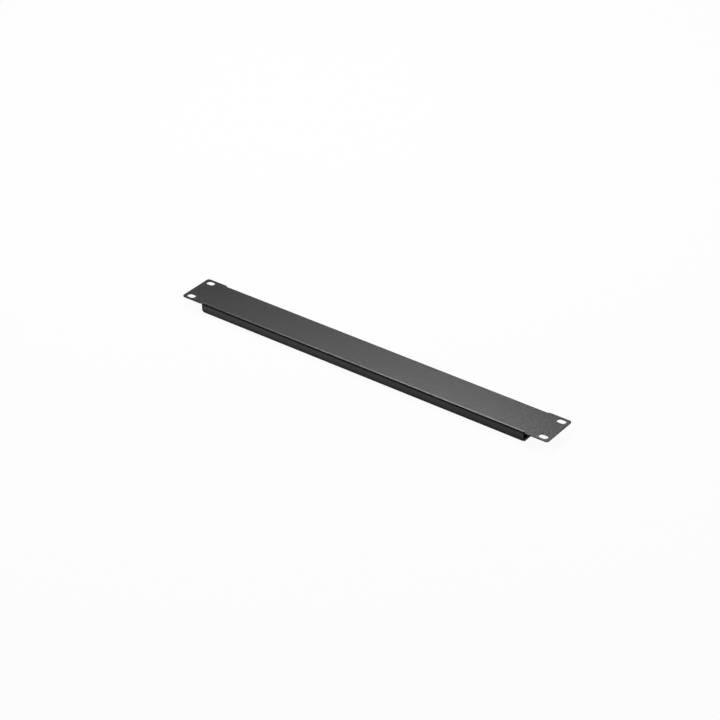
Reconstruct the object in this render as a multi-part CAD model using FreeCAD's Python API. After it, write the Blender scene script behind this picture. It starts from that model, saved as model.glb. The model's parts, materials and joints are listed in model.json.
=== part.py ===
import FreeCAD, Part
import math
import os

# Rack blanking panel, one rack unit high, cut and folded from one sheet of steel.
# X runs along the panel, Y across its height, and the front face looks up along Z.
# The origin is under the middle of the panel, level with the underside of its return lips.

# Driving sizes, in millimetres
panel_length = 482.6          # across both ears, the standard 19 inch front
unit_height = 44.45           # one unit of the rack
unit_gap = 0.79               # left free above and below each panel, taken together
panel_depth = 12.0            # front face to the underside of the lips
sheet = 1.2                   # thickness of the steel
bend_inner_radius = 1.2       # inside each of the four folds
ear_length = 28.6             # flat ear beside the flanges, which clear the rails
ear_corner_radius = 3.0       # outer corners of the ears
lip_width = 12.7              # return lip, from the outer face of its flange
lip_setback = 1.2             # the lip and its fold stop short of the flange's ends

slot_end_distance = 8.75      # from the ear's end to the middle of a slot
slot_unit_distance = 6.35     # from the edge of the rack unit to the middle of a slot
slot_length = 10.3
slot_width = 6.8

relief_width = 0.6            # slit between a fold's end and the ear's own edge
relief_radius = 1.8           # inner corners of the ears, beside the slits
cut_margin = 1.0              # how far a cutting body stands past what it cuts

# Sizes that follow
panel_height = unit_height - unit_gap
flange_length = panel_length - 2 * ear_length
half_length = panel_length / 2
half_height = panel_height / 2
half_flange = flange_length / 2
slot_x = half_length - slot_end_distance
slot_y = unit_height / 2 - slot_unit_distance
bend_radius = bend_inner_radius + sheet     # outside of a fold
fold_line = half_height - bend_radius       # where the flat face meets its fold
relief_x = half_flange + relief_width       # where the ear reaches past the fold line
face_back = panel_depth - sheet             # back of the front face and of the ears


def point(x, y, z):
    return FreeCAD.Vector(x, y, z)


def straight(start, end):
    return Part.LineSegment(start, end).toShape()


def arc(start, middle, end):
    return Part.Arc(start, middle, end).toShape()


def rounded_path(corners, closed):
    # Straight runs through the corners. Each corner comes with the radius of its arc.
    count = len(corners)
    arcs = {}
    run_starts = []
    run_ends = []
    for index, (corner, radius) in enumerate(corners):
        if radius == 0:
            run_ends.append(corner)
            run_starts.append(corner)
            continue
        way_in = (corner - corners[index - 1][0]).normalize()
        way_out = (corners[(index + 1) % count][0] - corner).normalize()
        half_turn = way_in.getAngle(way_out) / 2
        inward = (way_out - way_in).normalize()
        begin = corner - way_in * radius * math.tan(half_turn)
        middle = corner + inward * radius * (1 / math.cos(half_turn) - 1)
        finish = corner + way_out * radius * math.tan(half_turn)
        arcs[index] = arc(begin, middle, finish)
        run_ends.append(begin)
        run_starts.append(finish)
    edges = []
    for index in range(count if closed else count - 1):
        if index in arcs:
            edges.append(arcs[index])
        edges.append(straight(run_starts[index], run_ends[(index + 1) % count]))
    return Part.Wire(edges)


def folded_channel():
    # One path along the outside of the section, from lip to lip, thickened inward to the sheet.
    lip_edge = half_height - lip_width
    x = -half_flange
    outside = rounded_path([
        (point(x, -lip_edge, 0), 0),
        (point(x, -half_height, 0), bend_radius),
        (point(x, -half_height, panel_depth), bend_radius),
        (point(x, half_height, panel_depth), bend_radius),
        (point(x, half_height, 0), bend_radius),
        (point(x, lip_edge, 0), 0),
    ], closed=False)
    section = outside.makeOffset2D(sheet, 0, True, True)
    channel = section.extrude(point(flange_length, 0, 0))

    notch_length = lip_setback + cut_margin
    notch_width = panel_height + 2 * cut_margin
    notch_height = bend_radius + cut_margin
    for notch_start in (-half_flange - cut_margin, half_flange - lip_setback):
        corner = point(notch_start, -notch_width / 2, -cut_margin)
        channel = channel.cut(Part.makeBox(notch_length, notch_width, notch_height, corner))
    return channel


def ear_plate():
    # Flat ear at the +X end. Between the fold lines it carries on from the front face. Past
    # each fold line it begins beside a slit, so that the fold's end is free to turn down.
    outline = rounded_path([
        (point(half_flange, -fold_line, face_back), 0),
        (point(relief_x, -fold_line, face_back), 0),
        (point(relief_x, -half_height, face_back), relief_radius),
        (point(half_length, -half_height, face_back), ear_corner_radius),
        (point(half_length, half_height, face_back), ear_corner_radius),
        (point(relief_x, half_height, face_back), relief_radius),
        (point(relief_x, fold_line, face_back), 0),
        (point(half_flange, fold_line, face_back), 0),
    ], closed=True)
    return Part.Face(outline).extrude(point(0, 0, sheet))


def slot_cutter(x, y):
    # Slot with round ends, long along X so that the panel can be centred on the rails.
    radius = slot_width / 2
    reach = slot_length / 2 - radius

    def at(right, up):
        return point(x + right, y + up, face_back - cut_margin)

    outline = Part.Wire([
        straight(at(-reach, -radius), at(reach, -radius)),
        arc(at(reach, -radius), at(reach + radius, 0), at(reach, radius)),
        straight(at(reach, radius), at(-reach, radius)),
        arc(at(-reach, radius), at(-reach - radius, 0), at(-reach, -radius)),
    ])
    return Part.Face(outline).extrude(point(0, 0, sheet + 2 * cut_margin))


def slotted_ear():
    ear = ear_plate()
    for side in (-1, 1):
        ear = ear.cut(slot_cutter(slot_x, side * slot_y))
    return ear


def blanking_panel():
    # The seam lines of the ears are kept: the back of each ear is a seat of its own.
    ear = slotted_ear()
    other_ear = ear.mirror(point(0, 0, 0), point(1, 0, 0))
    return folded_channel().fuse([ear, other_ear])


os.makedirs("parts", exist_ok=True)
panel = blanking_panel().Solids[0]
panel.exportStep("parts/blanking_panel.step")
print("panel", round(panel.Volume / 1000, 3), "cubic centimetres, valid", panel.isValid())
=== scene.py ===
# Rack blanking panel in black powder coat, lying face up on its return lips on a white studio floor.
import bpy
import bmesh
import json
import math
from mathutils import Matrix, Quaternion, Vector


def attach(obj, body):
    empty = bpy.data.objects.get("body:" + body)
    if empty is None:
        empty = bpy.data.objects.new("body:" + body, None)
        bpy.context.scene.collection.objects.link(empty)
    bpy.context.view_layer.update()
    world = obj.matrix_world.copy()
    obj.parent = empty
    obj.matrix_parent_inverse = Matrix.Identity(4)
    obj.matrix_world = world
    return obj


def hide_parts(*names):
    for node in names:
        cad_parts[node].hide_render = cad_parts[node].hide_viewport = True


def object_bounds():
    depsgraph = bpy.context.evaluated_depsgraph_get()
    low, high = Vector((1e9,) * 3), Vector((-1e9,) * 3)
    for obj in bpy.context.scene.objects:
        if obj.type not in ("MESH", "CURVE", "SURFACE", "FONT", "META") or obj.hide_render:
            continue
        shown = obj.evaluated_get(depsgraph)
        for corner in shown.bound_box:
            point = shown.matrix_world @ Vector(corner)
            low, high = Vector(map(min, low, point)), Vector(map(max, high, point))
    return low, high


mm = 0.001
plainWhite = (1, 1, 1, 1)

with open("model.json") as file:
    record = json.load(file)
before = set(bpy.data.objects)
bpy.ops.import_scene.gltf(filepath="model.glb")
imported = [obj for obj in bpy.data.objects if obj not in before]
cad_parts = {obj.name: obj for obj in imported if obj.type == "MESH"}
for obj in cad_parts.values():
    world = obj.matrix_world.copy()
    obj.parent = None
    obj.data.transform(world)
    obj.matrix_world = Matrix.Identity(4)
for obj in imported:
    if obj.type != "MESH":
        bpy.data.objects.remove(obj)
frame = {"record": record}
cadLow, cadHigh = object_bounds()
scene = bpy.context.scene
slotMount = next(m for m in frame["record"]["mounts"] if m["name"] == "rack_slots")
print("frame loaded, CAD box in mm:", [round(v / mm, 2) for v in (cadHigh - cadLow)])


def hexToLinear(code):
    # sRGB hex to the linear colour that the shaders take
    channels = [int(code[i:i + 2], 16) / 255 for i in (1, 3, 5)]
    linear = [c / 12.92 if c <= 0.04045 else ((c + 0.055) / 1.055) ** 2.4 for c in channels]
    return (*linear, 1.0)


def addNode(tree, kind, inputs=None, **settings):
    # an input is given a value, or another node's output socket to link to
    node = tree.nodes.new(kind)
    for name, value in settings.items():
        setattr(node, name, value)
    for socket, source in (inputs or {}).items():
        if isinstance(source, bpy.types.NodeSocket):
            tree.links.new(source, node.inputs[socket])
        else:
            node.inputs[socket].default_value = source
    return node


def emptyMaterial(name):
    material = bpy.data.materials.new(name)
    material.use_nodes = True
    material.node_tree.nodes.clear()
    return material, material.node_tree


# Powder coat: polyester powder sprayed on steel and baked. It flows out to a soft satin film with
# a fine grain, so it scatters the softbox into a wide sheen and pulls thin over the cut edges.
powderCoat = {
    "colour": "#161616",
    "paleFleck": "#1C1C1C",
    "roughness": 0.33,
    "ior": 1.51,
    "grain": 1.6,              # mm, drawn coarser than the real 0.3 so that it shows
    "grainHeight": 0.07,       # mm
    "grainDetail": 3.0,
    "grainRoughness": 0.6,
    "flow": 6.0,               # mm, slow ripple of the baked film
    "flowHeight": 0.02,        # mm
    "flowDetail": 2.0,
    "flowRoughness": 0.5,
}


def makePowderCoat():
    material, tree = emptyMaterial("PowderCoatBlackSatin")
    place = addNode(tree, "ShaderNodeTexCoord")
    grain = addNode(tree, "ShaderNodeTexNoise", {"Vector": place.outputs["Object"],
                    "Scale": 1 / (powderCoat["grain"] * mm), "Detail": powderCoat["grainDetail"],
                    "Roughness": powderCoat["grainRoughness"]})
    flow = addNode(tree, "ShaderNodeTexNoise", {"Vector": place.outputs["Object"],
                   "Scale": 1 / (powderCoat["flow"] * mm), "Detail": powderCoat["flowDetail"],
                   "Roughness": powderCoat["flowRoughness"]})
    tint = addNode(tree, "ShaderNodeMix", {0: grain.outputs["Fac"], 6: hexToLinear(powderCoat["colour"]),
                   7: hexToLinear(powderCoat["paleFleck"])}, data_type="RGBA")
    flowBump = addNode(tree, "ShaderNodeBump", {"Height": flow.outputs["Fac"], "Strength": 1.0,
                       "Distance": powderCoat["flowHeight"] * mm})
    grainBump = addNode(tree, "ShaderNodeBump", {"Height": grain.outputs["Fac"], "Strength": 1.0,
                        "Distance": powderCoat["grainHeight"] * mm, "Normal": flowBump.outputs["Normal"]})
    coat = addNode(tree, "ShaderNodeBsdfPrincipled", {"Base Color": tint.outputs[2],
                   "Roughness": powderCoat["roughness"], "IOR": powderCoat["ior"],
                   "Normal": grainBump.outputs["Normal"]})
    addNode(tree, "ShaderNodeOutputMaterial", {"Surface": coat.outputs["BSDF"]})
    return material


# The panel is one sheet: a flat blank, folded, then given its thickness. Sizes in mm.
panel = {
    "sheet": 1.2,
    "depth": 12.0,             # front face to the underside of the lips
    "bendRadius": 2.4,         # outside of each fold
    "earLength": 28.6,
    "earCornerRadius": 3.0,
    "reliefWidth": 0.6,        # slit between a fold's end and the ear's own edge
    "reliefRadius": 1.8,       # inner corners of the ears, beside the slits
    "lipWidth": 12.7,
    "lipSetback": 1.2,         # the lip stops short of the flange's end
    "coatEdge": 0.13,          # radius that the coat leaves on a cut edge
    "coatEdgeSteps": 3,
    "coatEdgeAngle": 40,       # degrees, only sharper edges are rounded
    "bendSteps": 12,           # faces round a fold
    "cornerSteps": 10,         # faces round a corner of the ear
}
halfLength = (cadHigh.x - cadLow.x) / mm / 2
halfHeight = (cadHigh.y - cadLow.y) / mm / 2
halfFlange = halfLength - panel["earLength"]
foldLine = halfHeight - panel["bendRadius"]


def bendLengths():
    # Lengths of the blank outside the fold line: fold, flange, second fold and lip, and their ends.
    foldEnd = panel["bendRadius"] * math.pi / 2
    flangeEnd = foldEnd + panel["depth"] - 2 * panel["bendRadius"]
    secondEnd = flangeEnd + foldEnd
    return foldEnd, flangeEnd, secondEnd, secondEnd + panel["lipWidth"] - panel["bendRadius"]


def folded(out):
    # Where a point of the blank lies once folded: its y and z, for a distance outside the fold line.
    radius = panel["bendRadius"]
    foldEnd, flangeEnd, secondEnd, _ = bendLengths()
    if out <= foldEnd:
        angle = out / radius
        return foldLine + radius * math.sin(angle), panel["depth"] - radius * (1 - math.cos(angle))
    if out <= flangeEnd:
        return halfHeight, panel["depth"] - radius - (out - foldEnd)
    if out <= secondEnd:
        angle = (out - flangeEnd) / radius
        return halfHeight - radius * (1 - math.cos(angle)), radius * (1 - math.sin(angle))
    return foldLine - (out - secondEnd), 0.0


def foldedSkin():
    # The outside of the sheet, as a mesh without thickness.
    mesh = bmesh.new()
    known = {}

    def at(x, y, z=panel["depth"]):
        key = (round(x, 4), round(y, 4), round(z, 4))
        if key not in known:
            known[key] = mesh.verts.new((x * mm, y * mm, z * mm))
        return known[key]

    def strip(xs, outs, side):
        for xa, xb in zip(xs, xs[1:]):
            for outA, outB in zip(outs, outs[1:]):
                (ya, za), (yb, zb) = folded(outA), folded(outB)
                mesh.faces.new((at(xa, side * ya, za), at(xb, side * ya, za),
                                at(xb, side * yb, zb), at(xa, side * yb, zb)))

    foldEnd, flangeEnd, secondEnd, lipEnd = bendLengths()
    steps = range(panel["bendSteps"] + 1)
    upper = [foldEnd * i / panel["bendSteps"] for i in steps] + [flangeEnd]
    lower = [flangeEnd + (secondEnd - flangeEnd) * i / panel["bendSteps"] for i in steps] + [lipEnd]
    lipReach = halfFlange - panel["lipSetback"]
    columns = [-halfFlange, -lipReach, lipReach, halfFlange]
    for side in (-1, 1):
        strip(columns, upper, side)
        strip(columns[1:3], lower, side)
    front = mesh.faces.new([at(x, -foldLine) for x in columns] + [at(x, foldLine) for x in reversed(columns)])
    for end in (-1, 1):
        mesh.faces.new([at(end * x, y) for x, y in earOutline()])
    bmesh.ops.recalc_face_normals(mesh, faces=mesh.faces)
    if front.normal.z < 0:
        bmesh.ops.reverse_faces(mesh, faces=mesh.faces)
    return mesh


def earOutline():
    # From the fold line round to the fold line on the other side, as x and y.
    relief, corner = panel["reliefRadius"], panel["earCornerRadius"]
    start = halfFlange + panel["reliefWidth"]
    half = [(halfFlange, -foldLine), (start, -foldLine)]
    for i in range(panel["cornerSteps"] + 1):
        turn = math.pi / 2 * i / panel["cornerSteps"]
        half.append((start + relief * (1 - math.cos(turn)), -halfHeight + relief * (1 - math.sin(turn))))
    for i in range(panel["cornerSteps"] + 1):
        turn = math.pi / 2 * i / panel["cornerSteps"]
        half.append((halfLength - corner * (1 - math.sin(turn)), -halfHeight + corner * (1 - math.cos(turn))))
    return half + [(x, -y) for x, y in reversed(half)]


def meshObject(name, mesh):
    data = bpy.data.meshes.new(name)
    mesh.to_mesh(data)
    mesh.free()
    made = bpy.data.objects.new(name, data)
    scene.collection.objects.link(made)
    return made


def applied(piece, modifier):
    # the modifier's result becomes the piece's own plain mesh
    graph = bpy.context.evaluated_depsgraph_get()
    data = bpy.data.meshes.new_from_object(piece.evaluated_get(graph))
    piece.modifiers.remove(modifier)
    piece.data = data
    return piece


def makeSheet():
    sheet = meshObject("foldedPanel", foldedSkin())
    wall = sheet.modifiers.new("sheet thickness", "SOLIDIFY")
    wall.thickness = panel["sheet"] * mm
    wall.offset = -1
    wall.use_even_offset = True
    return applied(sheet, wall)


foldedPanel = makeSheet()
print("panel folded:", len(foldedPanel.data.polygons), "faces")


# Slots: one obround punch on each of the four places of a two by two grid, cut out of the sheet.
slots = {
    "length": slotMount["dims"]["slot_length_mm"],
    "width": 2 * slotMount["dims"]["hole_r_mm"],
    "pitchX": slotMount["dims"]["spacing_x_mm"],
    "pitchY": slotMount["dims"]["spacing_y_mm"],
    "endSteps": 16,            # faces round each quarter of a slot's end
    "endRadiusShare": 0.4999,  # of the width, a hair under half so that the corners don't meet
    "weld": 0.01,              # joins the punch's base to its walls
}


def slotPunchTree(material):
    tree = bpy.data.node_groups.new("SlotPunch", "GeometryNodeTree")
    face = tree.interface
    face.new_socket("Sheet", in_out="INPUT", socket_type="NodeSocketGeometry")
    for name in ("Slot Length", "Slot Width", "Pitch X", "Pitch Y", "Base", "Depth"):
        face.new_socket(name, in_out="INPUT", socket_type="NodeSocketFloat")
    face.new_socket("Panel", in_out="OUTPUT", socket_type="NodeSocketGeometry")
    given = addNode(tree, "NodeGroupInput").outputs
    outline = addNode(tree, "GeometryNodeCurvePrimitiveQuadrilateral",
                      {"Width": given["Slot Length"], "Height": given["Slot Width"]})
    radius = addNode(tree, "ShaderNodeMath", {0: given["Slot Width"], 1: slots["endRadiusShare"]},
                     operation="MULTIPLY")
    rounded = addNode(tree, "GeometryNodeFilletCurve", {"Curve": outline.outputs["Curve"],
                      "Radius": radius.outputs[0], "Count": slots["endSteps"]}, mode="POLY")
    foot = addNode(tree, "GeometryNodeFillCurve", {"Curve": rounded.outputs["Curve"]}, mode="NGONS")
    up = addNode(tree, "ShaderNodeCombineXYZ", {"Z": given["Depth"]})
    body = addNode(tree, "GeometryNodeExtrudeMesh", {"Mesh": foot.outputs["Mesh"], "Offset": up.outputs[0],
                   "Offset Scale": 1.0, "Individual": False})
    base = addNode(tree, "GeometryNodeFlipFaces", {"Mesh": foot.outputs["Mesh"]})
    parts = addNode(tree, "GeometryNodeJoinGeometry")
    tree.links.new(body.outputs["Mesh"], parts.inputs[0])
    tree.links.new(base.outputs["Mesh"], parts.inputs[0])
    punch = addNode(tree, "GeometryNodeMergeByDistance", {"Geometry": parts.outputs[0],
                    "Distance": slots["weld"] * mm})
    places = addNode(tree, "GeometryNodeMeshGrid", {"Size X": given["Pitch X"], "Size Y": given["Pitch Y"],
                     "Vertices X": 2, "Vertices Y": 2})
    level = addNode(tree, "ShaderNodeCombineXYZ", {"Z": given["Base"]})
    raised = addNode(tree, "GeometryNodeTransform", {"Geometry": places.outputs["Mesh"],
                     "Translation": level.outputs[0]})
    punches = addNode(tree, "GeometryNodeInstanceOnPoints", {"Points": raised.outputs[0],
                      "Instance": punch.outputs[0]})
    real = addNode(tree, "GeometryNodeRealizeInstances", {"Geometry": punches.outputs[0]})
    cut = addNode(tree, "GeometryNodeMeshBoolean", {"Mesh 1": given["Sheet"], "Mesh 2": real.outputs[0]},
                  operation="DIFFERENCE", solver="EXACT")
    plain = addNode(tree, "GeometryNodeRealizeInstances", {"Geometry": cut.outputs["Mesh"]})
    coated = addNode(tree, "GeometryNodeSetMaterial", {"Geometry": plain.outputs[0], "Material": material})
    addNode(tree, "NodeGroupOutput", {"Panel": coated.outputs[0]})
    return tree


def punchSlots(piece, material):
    tree = slotPunchTree(material)
    punch = piece.modifiers.new("slot punch", "NODES")
    punch.node_group = tree
    sizes = {
        "Slot Length": slots["length"] * mm,
        "Slot Width": slots["width"] * mm,
        "Pitch X": slots["pitchX"] * mm,
        "Pitch Y": slots["pitchY"] * mm,
        "Base": (panel["depth"] - 2 * panel["sheet"]) * mm,
        "Depth": 3 * panel["sheet"] * mm,
    }
    sockets = {s.name: s.identifier for s in tree.interface.items_tree if s.in_out == "INPUT"}
    for name, size in sizes.items():
        punch[sockets[name]] = size
    return applied(piece, punch)


def softenEdges(piece):
    # the coat leaves no sharp edge on the cut sheet
    for face in piece.data.polygons:
        face.use_smooth = True
    edge = piece.modifiers.new("coat edge", "BEVEL")
    edge.width = panel["coatEdge"] * mm
    edge.segments = panel["coatEdgeSteps"]
    edge.limit_method = "ANGLE"
    edge.angle_limit = math.radians(panel["coatEdgeAngle"])
    edge.use_clamp_overlap = True
    level = piece.modifiers.new("flat faces stay flat", "WEIGHTED_NORMAL")
    level.keep_sharp = False
    level.weight = 100


coatMaterial = makePowderCoat()
punchSlots(foldedPanel, coatMaterial)
softenEdges(foldedPanel)
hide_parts("blanking_panel")
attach(foldedPanel, "root")
print("slots punched:", len(foldedPanel.data.polygons), "faces")


# Studio: white floor, a wide softbox overhead, and a dim room with one light wall that only
# reflections see. Sizes in metres, angles in degrees, levels with 1 for white.
studio = {
    "floorSize": 12.0,
    "floorGap": 0.0001,        # below the lips
    "floorColour": "#DCDCDC",
    "whiteShare": 0.95,        # of the floor's look to the camera
    "mirroredShare": 0.03,     # the same in reflections, small as the flange mirrors the shadow
    # painted shade: the floor under the panel is given this darker colour so that the hollow looks dark
    "shadeColour": "#505050",  # under the panel
    "roomLevel": 0.016,
    "belowLevel": 0.5,         # under the floor, for views of the underside
    "horizonBlend": 0.1,       # height over which the level under the floor fades out
    "wallLevel": 0.36,
    "wallDirection": (0.8, -0.45, 0.4),
    "wallFade": (0.1, 0.9),    # how squarely a ray meets the wall, from dim to light
    "softboxAzimuth": -46.1,   # from +Y towards +X
    "softboxElevation": 61.8,
    "softboxDistance": 1.498,
    "softboxWidth": 0.811,
    "softboxDepth": 0.987,
    "softboxPower": 27.9,
}


def floorMaterial():
    # matt to the light, partly plain white to the camera and a little in reflections, clear from below
    material, tree = emptyMaterial("StudioFloorWhite")
    path = addNode(tree, "ShaderNodeLightPath")
    shine = addNode(tree, "ShaderNodeMath", {0: path.outputs["Is Glossy Ray"],
                    1: path.outputs["Is Transmission Ray"]}, operation="MAXIMUM")
    mirrored = addNode(tree, "ShaderNodeMath", {0: shine.outputs[0], 1: studio["mirroredShare"]},
                       operation="MULTIPLY")
    direct = addNode(tree, "ShaderNodeMath", {0: path.outputs["Is Camera Ray"], 1: studio["whiteShare"]},
                     operation="MULTIPLY")
    share = addNode(tree, "ShaderNodeMath", {0: direct.outputs[0], 1: mirrored.outputs[0]},
                    operation="MAXIMUM")
    matt = addNode(tree, "ShaderNodeBsdfDiffuse", {"Color": hexToLinear(studio["floorColour"])})
    white = addNode(tree, "ShaderNodeEmission", {"Strength": 1.0})
    top = addNode(tree, "ShaderNodeMixShader", {0: share.outputs[0], 1: matt.outputs[0], 2: white.outputs[0]})
    side = addNode(tree, "ShaderNodeNewGeometry")
    clear = addNode(tree, "ShaderNodeBsdfTransparent", {"Color": plainWhite})
    floor = addNode(tree, "ShaderNodeMixShader", {0: side.outputs["Backfacing"], 1: top.outputs[0],
                    2: clear.outputs[0]})
    addNode(tree, "ShaderNodeOutputMaterial", {"Surface": floor.outputs[0]})
    return material


def shadeMaterial():
    # Painted shade: under the panel the floor has a darker matt colour and no plain white, so it is dark to
    # the camera above it; it is clear to every other ray, so that the lips and the back of the face still get
    # the room's light when they are looked at from below.
    material, tree = emptyMaterial("StudioFloorShade")
    path = addNode(tree, "ShaderNodeLightPath")
    side = addNode(tree, "ShaderNodeNewGeometry")
    seen = addNode(tree, "ShaderNodeMath", {0: path.outputs["Is Camera Ray"], 1: side.outputs["Backfacing"]},
                   operation="SUBTRACT", use_clamp=True)
    clear = addNode(tree, "ShaderNodeBsdfTransparent", {"Color": plainWhite})
    shade = addNode(tree, "ShaderNodeBsdfDiffuse", {"Color": hexToLinear(studio["shadeColour"])})
    both = addNode(tree, "ShaderNodeMixShader", {0: seen.outputs[0], 1: clear.outputs[0],
                   2: shade.outputs[0]})
    addNode(tree, "ShaderNodeOutputMaterial", {"Surface": both.outputs[0]})
    return material


def makeFloor():
    # nine faces, and the middle one, which the panel covers, gets painted shade: a darker matt colour with no
    # plain white
    mesh = bmesh.new()
    reach = studio["floorSize"] / 2
    xs = (-reach, -halfFlange * mm, halfFlange * mm, reach)
    ys = (-reach, -foldLine * mm, foldLine * mm, reach)
    grid = [[mesh.verts.new((x, y, -studio["floorGap"])) for x in xs] for y in ys]
    for row, (near, far) in enumerate(zip(grid, grid[1:])):
        for i in range(3):
            face = mesh.faces.new((near[i], near[i + 1], far[i + 1], far[i]))
            face.material_index = int(row == 1 and i == 1)
    floor = meshObject("studioFloor", mesh)
    floor.data.materials.append(floorMaterial())
    floor.data.materials.append(shadeMaterial())


def makeRoom():
    # white to the camera, dim all round, lighter below the floor, and in reflections towards the wall
    world = bpy.data.worlds.new("StudioRoom")
    scene.world = world
    world.use_nodes = True
    tree = world.node_tree
    tree.nodes.clear()
    path = addNode(tree, "ShaderNodeLightPath")
    shine = addNode(tree, "ShaderNodeMath", {0: path.outputs["Is Glossy Ray"],
                    1: path.outputs["Is Transmission Ray"]}, operation="MAXIMUM")
    way = addNode(tree, "ShaderNodeTexCoord")
    toWall = addNode(tree, "ShaderNodeVectorMath", {0: way.outputs["Generated"], 1: studio["wallDirection"]},
                     operation="DOT_PRODUCT")
    wall = addNode(tree, "ShaderNodeMapRange", {"Value": toWall.outputs["Value"],
                   "From Min": studio["wallFade"][0], "From Max": studio["wallFade"][1],
                   "To Min": studio["roomLevel"], "To Max": studio["wallLevel"]})
    mirrored = addNode(tree, "ShaderNodeMath", {0: shine.outputs[0], 1: wall.outputs[0]},
                       operation="MULTIPLY")
    height = addNode(tree, "ShaderNodeSeparateXYZ", {0: way.outputs["Generated"]})
    below = addNode(tree, "ShaderNodeMapRange", {"Value": height.outputs["Z"],
                    "From Min": -studio["horizonBlend"], "From Max": 0.0,
                    "To Min": studio["belowLevel"], "To Max": studio["roomLevel"]})
    dim = addNode(tree, "ShaderNodeMath", {0: mirrored.outputs[0], 1: below.outputs[0]}, operation="MAXIMUM")
    level = addNode(tree, "ShaderNodeMath", {0: path.outputs["Is Camera Ray"], 1: dim.outputs[0]},
                    operation="MAXIMUM")
    room = addNode(tree, "ShaderNodeBackground", {"Color": plainWhite, "Strength": level.outputs[0]})
    addNode(tree, "ShaderNodeOutputWorld", {"Surface": room.outputs[0]})


def makeSoftbox():
    light = bpy.data.lights.new("softbox", "AREA")
    light.shape = "RECTANGLE"
    light.size = studio["softboxWidth"]
    light.size_y = studio["softboxDepth"]
    light.energy = studio["softboxPower"]
    azimuth = math.radians(studio["softboxAzimuth"])
    elevation = math.radians(studio["softboxElevation"])
    way = Vector((math.sin(azimuth) * math.cos(elevation), math.cos(azimuth) * math.cos(elevation),
                  math.sin(elevation)))
    box = bpy.data.objects.new("softbox", light)
    box.location = way * studio["softboxDistance"]
    box.rotation_euler = way.to_track_quat("Z", "Y").to_euler()
    scene.collection.objects.link(box)


makeFloor()
makeRoom()
makeSoftbox()
print("studio set")


# Camera, at the photograph's viewing angle. Angles in degrees, distances in mm.
view = {
    "azimuth": 39.77,
    "elevation": 33.0,
    "distance": 2307.0,
    "lookAtX": -0.81,
    "lookAtY": -11.55,
    "roll": -2.63,
    "lens": 110.92,
    "sensor": 36.0,
}


def makeCamera():
    azimuth, elevation, roll = (math.radians(view[name]) for name in ("azimuth", "elevation", "roll"))
    back = Vector((math.sin(azimuth) * math.cos(elevation), -math.cos(azimuth) * math.cos(elevation),
                   math.sin(elevation)))
    data = bpy.data.cameras.new("photoCamera")
    data.sensor_width = view["sensor"]
    data.lens = view["lens"]
    camera = bpy.data.objects.new("photoCamera", data)
    target = Vector((view["lookAtX"], view["lookAtY"], panel["depth"]))
    camera.location = (target + back * view["distance"]) * mm
    camera.rotation_euler = (back.to_track_quat("Z", "Y") @ Quaternion((0, 0, 1), roll)).to_euler()
    scene.collection.objects.link(camera)
    scene.camera = camera


makeCamera()
scene.view_settings.view_transform = "Standard"
